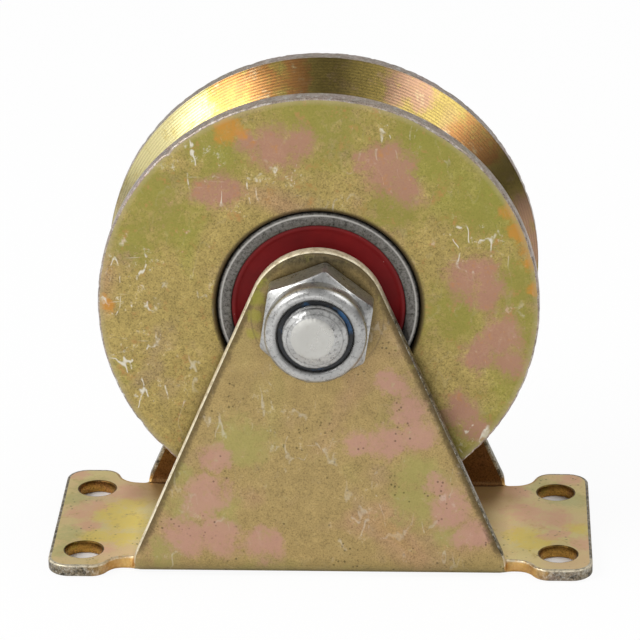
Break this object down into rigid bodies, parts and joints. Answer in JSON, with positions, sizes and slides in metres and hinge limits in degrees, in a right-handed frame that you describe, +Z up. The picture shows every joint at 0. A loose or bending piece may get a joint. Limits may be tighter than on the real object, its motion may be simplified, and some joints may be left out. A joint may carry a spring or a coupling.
{
  "type": "sliding door roller",
  "caption": "Sliding door roller: a V-grooved steel wheel on ball bearings in a folded steel bracket with four base holes.",
  "frame": {"origin": "centre of the four base holes, on the underside of the base", "axes": "+X along the rail, +Y along the wheel axle from the nut to the bolt head, +Z up from the base to the wheel"},
  "size_m": [0.1006, 0.0536, 0.091],
  "materials": {
    "passivated_sheet": "yellow passivated zinc, satin",
    "passivated_wheel": "yellow passivated zinc, turned",
    "white_zinc": "bright white zinc",
    "blue_nylon": "smooth",
    "bush_steel": "turned",
    "bearing_steel": "ground, lightly speckled",
    "ball_steel": "polished",
    "cage_steel": "pressed",
    "red_rubber": "satin"
  },
  "bodies": {
    "bracket_assembly": {"bracket": "passivated_sheet", "axle_bolt": "white_zinc", "lock_nut": "white_zinc", "nylon_insert": "blue_nylon", "bearing_spacer": "bush_steel", "front_spacer": "bush_steel", "rear_spacer": "bush_steel", "front_inner_ring": "bearing_steel", "rear_inner_ring": "bearing_steel"},
    "wheel_assembly": {"wheel": "passivated_wheel", "front_outer_ring": "bearing_steel", "front_outboard_seal": "red_rubber", "front_inboard_seal": "red_rubber", "rear_outer_ring": "bearing_steel", "rear_outboard_seal": "red_rubber", "rear_inboard_seal": "red_rubber"},
    "front_ball_set": {"front_balls": "ball_steel", "front_cage": "cage_steel"},
    "rear_ball_set": {"rear_balls": "ball_steel", "rear_cage": "cage_steel"}
  },
  "joints": [
    {"name": "wheel_spin", "type": "hinge", "parent": "bracket_assembly", "child": "wheel_assembly", "pos_m": [0, 0, 0.051], "axis": [0, 1, 0], "continuous": true},
    {"name": "front_balls_roll", "type": "hinge", "parent": "bracket_assembly", "child": "front_ball_set", "pos_m": [0, -0.0067, 0.051], "axis": [0, 1, 0], "continuous": true},
    {"name": "rear_balls_roll", "type": "hinge", "parent": "bracket_assembly", "child": "rear_ball_set", "pos_m": [0, 0.0067, 0.051], "axis": [0, 1, 0], "continuous": true}
  ],
  "couplings": [
    {"joint": "front_balls_roll", "follows": "wheel_spin", "ratio": 0.662},
    {"joint": "rear_balls_roll", "follows": "wheel_spin", "ratio": 0.662}
  ]
}
